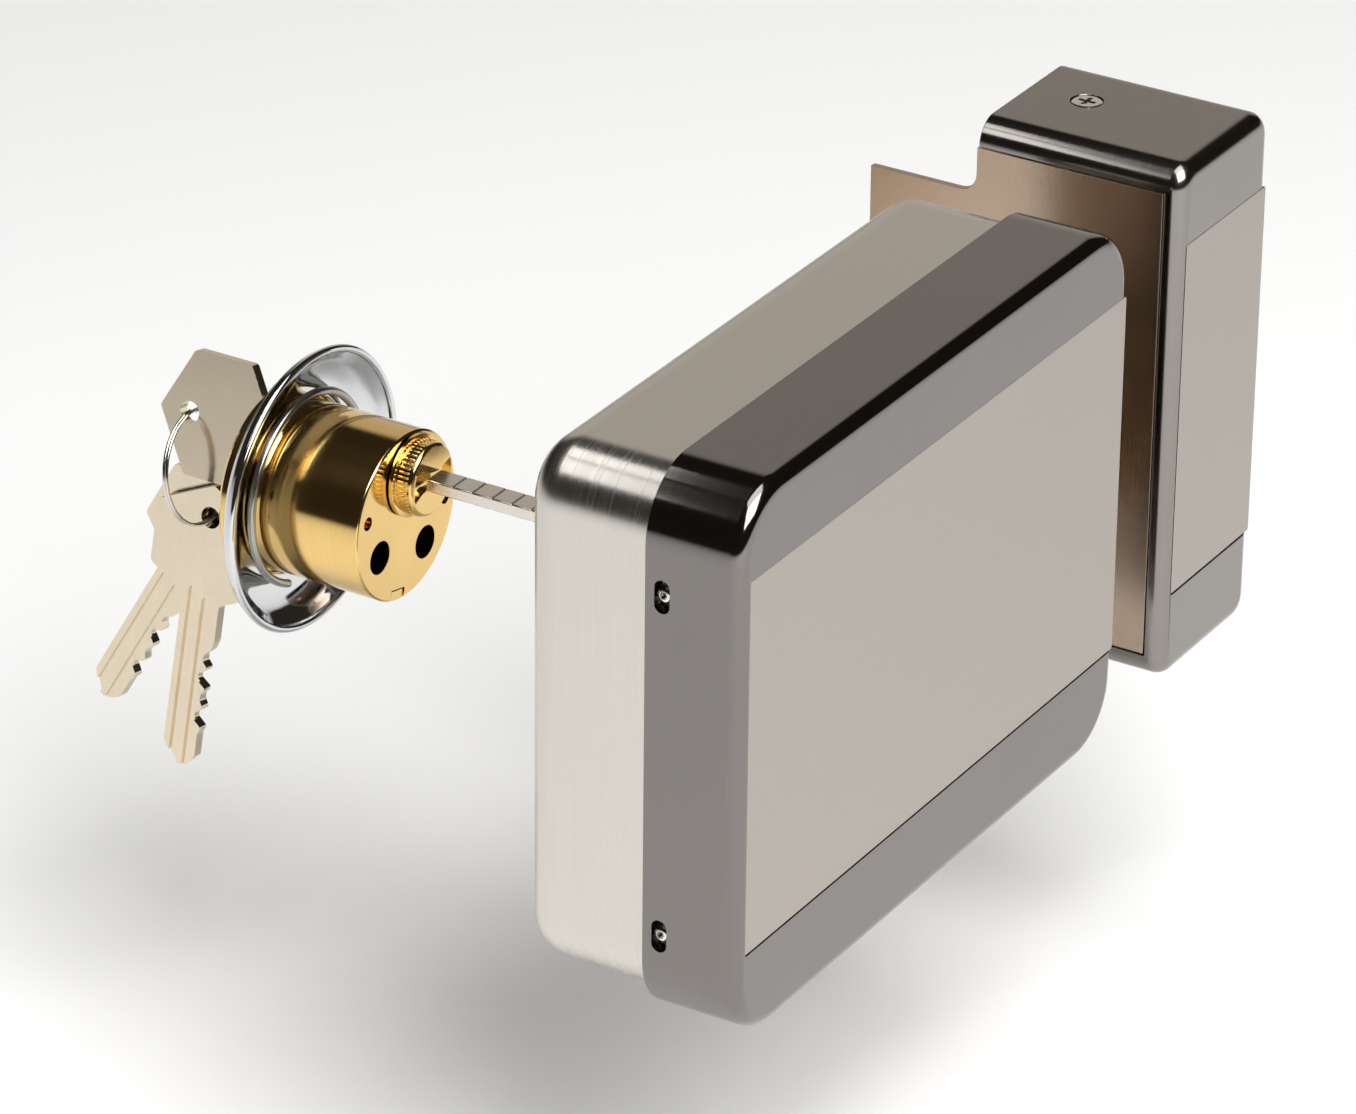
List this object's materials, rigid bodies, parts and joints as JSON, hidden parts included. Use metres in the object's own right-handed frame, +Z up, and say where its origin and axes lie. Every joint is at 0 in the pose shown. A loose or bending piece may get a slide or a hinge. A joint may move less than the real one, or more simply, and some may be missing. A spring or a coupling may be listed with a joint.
{
  "type": "electric rim lock set",
  "caption": "Surface-mounted electric rim lock with spring latch and trigger, door-frame keeper, and a key cylinder with tailpiece and keys.",
  "frame": {"origin": "on the door face behind the lock case, where the axis of the plug and tailpiece crosses the case's flat back", "axes": "+X from the lock towards the keeper, +Y from the room into the door along the tailpiece, +Z up"},
  "size_m": [0.1911, 0.181, 0.1243],
  "materials": {
    "satin_nickel": "brushed nickel",
    "dark_nickel": "polished dark nickel",
    "chrome": "polished chrome",
    "key_nickel": "nickel-plated brass",
    "brass": "polished brass",
    "copper": "enamelled copper winding",
    "rubber": "matt black rubber",
    "terminal_plastic": "green moulded plastic",
    "relay_plastic": "black moulded plastic",
    "board": "green solder mask",
    "steel": "zinc-plated steel"
  },
  "bodies": {
    "lock": {"rear_housing": "satin_nickel", "front_cover": "dark_nickel", "front_panel": "satin_nickel", "upper_cover_screw": "steel", "lower_cover_screw": "steel", "upper_screw_lug": "steel", "lower_screw_lug": "steel", "chassis_plate": "steel", "left_chassis_screw": "steel", "right_chassis_screw": "steel", "bolt_guide": "steel", "hub_bush": "brass", "hub_spring": "steel", "hub_bridge": "steel", "solenoid_frame": "steel", "solenoid_coil": "copper", "lever_post": "steel", "circuit_board": "board", "upper_board_pillar": "steel", "lower_board_pillar": "steel", "terminal_block": "terminal_plastic", "relay": "relay_plastic", "cable_grommet": "rubber", "cylinder_body": "brass", "chamber_strip": "brass", "driver_pin_1": "steel", "driver_pin_2": "steel", "driver_pin_3": "steel", "driver_pin_4": "steel", "driver_pin_5": "steel", "rosette": "chrome", "rosette_spring": "steel"},
    "latch": {"latch_bolt": "brass", "latch_carriage": "steel"},
    "trigger": {"trigger_bolt": "brass"},
    "turning_plug": {"cylinder_plug": "brass", "plug_cap": "brass", "tailpiece": "steel", "latch_hub": "steel", "key_pin_1": "brass", "key_pin_2": "brass", "key_pin_3": "brass", "key_pin_4": "brass", "key_pin_5": "brass"},
    "plunger": {"solenoid_plunger": "steel"},
    "release": {"release_lever": "steel"},
    "inserted_key": {"plug_key": "key_nickel"},
    "ring": {"key_ring": "steel"},
    "front_key": {"spare_key_front": "key_nickel"},
    "rear_key": {"spare_key_rear": "key_nickel"},
    "keeper": {"keeper_cover": "dark_nickel", "keeper_panel": "satin_nickel", "strike_plate": "satin_nickel", "bolt_pocket": "steel", "keeper_base": "steel", "upper_keeper_lug": "steel", "lower_keeper_lug": "steel", "upper_keeper_screw": "steel", "lower_keeper_screw": "steel"}
  },
  "joints": [
    {"name": "plug_turn", "type": "hinge", "parent": "lock", "child": "turning_plug", "pos_m": [0, 0, 0], "axis": [0, -1, 0], "range_deg": [0, 60]},
    {"name": "latch_slide", "type": "slide", "parent": "lock", "child": "latch", "axis": [1, 0, 0], "range_m": [-0.016, 0]},
    {"name": "keeper_closing", "type": "slide", "parent": "lock", "child": "keeper", "axis": [-1, 0, 0], "range_m": [0, 0.017]},
    {"name": "trigger_slide", "type": "slide", "parent": "lock", "child": "trigger", "axis": [1, 0, 0], "range_m": [-0.0066, 0]},
    {"name": "plunger_slide", "type": "slide", "parent": "lock", "child": "plunger", "axis": [-1, 0, 0], "range_m": [0, 0.005], "stiffness_N_per_m": 60},
    {"name": "release_turn", "type": "hinge", "parent": "lock", "child": "release", "pos_m": [-0.014, -0.0315, -0.016], "axis": [0, 1, 0], "range_deg": [0, 16]},
    {"name": "key_insert", "type": "slide", "parent": "turning_plug", "child": "inserted_key", "axis": [0, 1, 0], "range_m": [0, 0.034]},
    {"name": "ring_swing", "type": "hinge", "parent": "inserted_key", "child": "ring", "pos_m": [0, 0.1131, 0], "axis": [1, 0, 0], "range_deg": [-5, 20]},
    {"name": "front_key_swing", "type": "hinge", "parent": "ring", "child": "front_key", "pos_m": [0.0016, 0.11005, -0.02167], "axis": [1, 0, 0], "range_deg": [-8, 20]},
    {"name": "rear_key_swing", "type": "hinge", "parent": "ring", "child": "rear_key", "pos_m": [0.005, 0.1102, -0.0206], "axis": [1, 0, 0], "range_deg": [-10, 20]}
  ],
  "couplings": [
    {"joint": "latch_slide", "follows": "plug_turn", "m_per_rad": -0.015279},
    {"joint": "trigger_slide", "follows": "keeper_closing", "ratio": -0.385},
    {"joint": "release_turn", "follows": "plunger_slide", "rad_per_m": 54}
  ]
}
